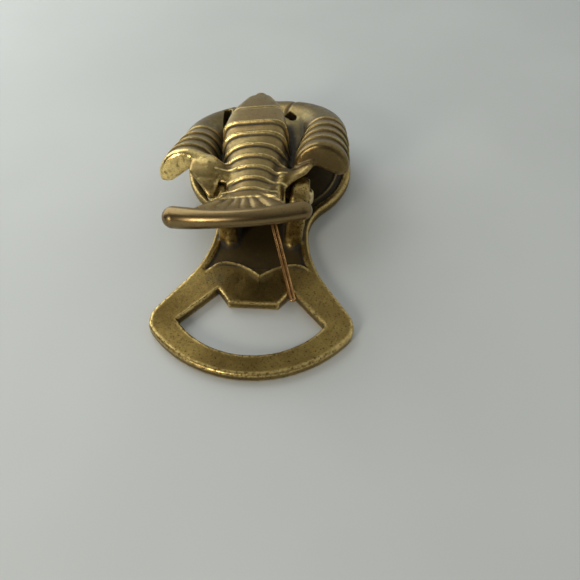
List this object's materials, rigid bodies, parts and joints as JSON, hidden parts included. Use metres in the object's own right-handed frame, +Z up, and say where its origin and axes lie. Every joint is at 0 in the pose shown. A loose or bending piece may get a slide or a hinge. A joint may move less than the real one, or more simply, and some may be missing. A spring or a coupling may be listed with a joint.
{
  "type": "figural spring letter clip",
  "caption": "Cast brass spring clip: a plate with a window loop and round jaw, and a hinged crayfish-shaped lever whose tail fan is pressed to open it.",
  "frame": {"origin": "on the table plane, under the middle of the back plate's length and width", "axes": "+Y from the loop towards the jaws, +Z up out of the plate, X along the hinge pin"},
  "size_m": [0.0548, 0.104, 0.032],
  "materials": {
    "plate_brass": "aged, satin",
    "lever_brass": "aged, satin",
    "pin_brass": "aged, peened",
    "spring_bronze": "drawn wire"
  },
  "bodies": {
    "base": {"back_plate": "plate_brass", "hinge_pin": "pin_brass", "torsion_spring": "spring_bronze"},
    "lever": {"crayfish_lever": "lever_brass"}
  },
  "joints": [
    {"name": "lever_hinge", "type": "hinge", "parent": "base", "child": "lever", "pos_m": [0, -0.003, 0.0158], "axis": [1, 0, 0], "range_deg": [0, 24], "stiffness_Nm_per_rad": 0.3, "springref_deg": -34.38, "deforming": ["torsion_spring"]}
  ]
}
